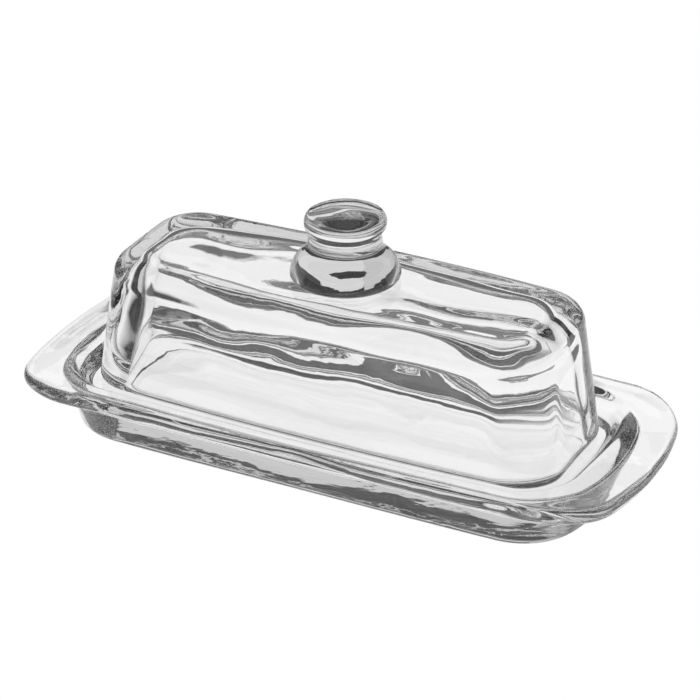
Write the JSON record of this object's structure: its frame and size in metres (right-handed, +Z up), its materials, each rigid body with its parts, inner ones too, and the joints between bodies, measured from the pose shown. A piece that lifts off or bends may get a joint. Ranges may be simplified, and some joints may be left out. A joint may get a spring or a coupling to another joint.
{
  "type": "butter dish",
  "caption": "Clear glass butter dish: a footed oblong tray with a wide flange and a lift-off box cover with a round knob.",
  "frame": {"origin": "centre of the tray's underside, on the surface that the dish stands on", "axes": "+X along the dish, +Y across it, +Z up through the knob"},
  "size_m": [0.2, 0.0868, 0.0792],
  "materials": {
    "tray_glass": "clear colourless pressed glass, fire-polished, slightly uneven",
    "cover_glass": "clear colourless pressed glass, fire-polished, with an uneven inside"
  },
  "bodies": {
    "tray": {"tray": "tray_glass"},
    "cover": {"cover_shell": "cover_glass", "knob": "cover_glass"}
  },
  "joints": [
    {"name": "cover_lift", "type": "slide", "parent": "tray", "child": "cover", "axis": [0, 0, 1], "range_m": [0, 0.08]}
  ]
}
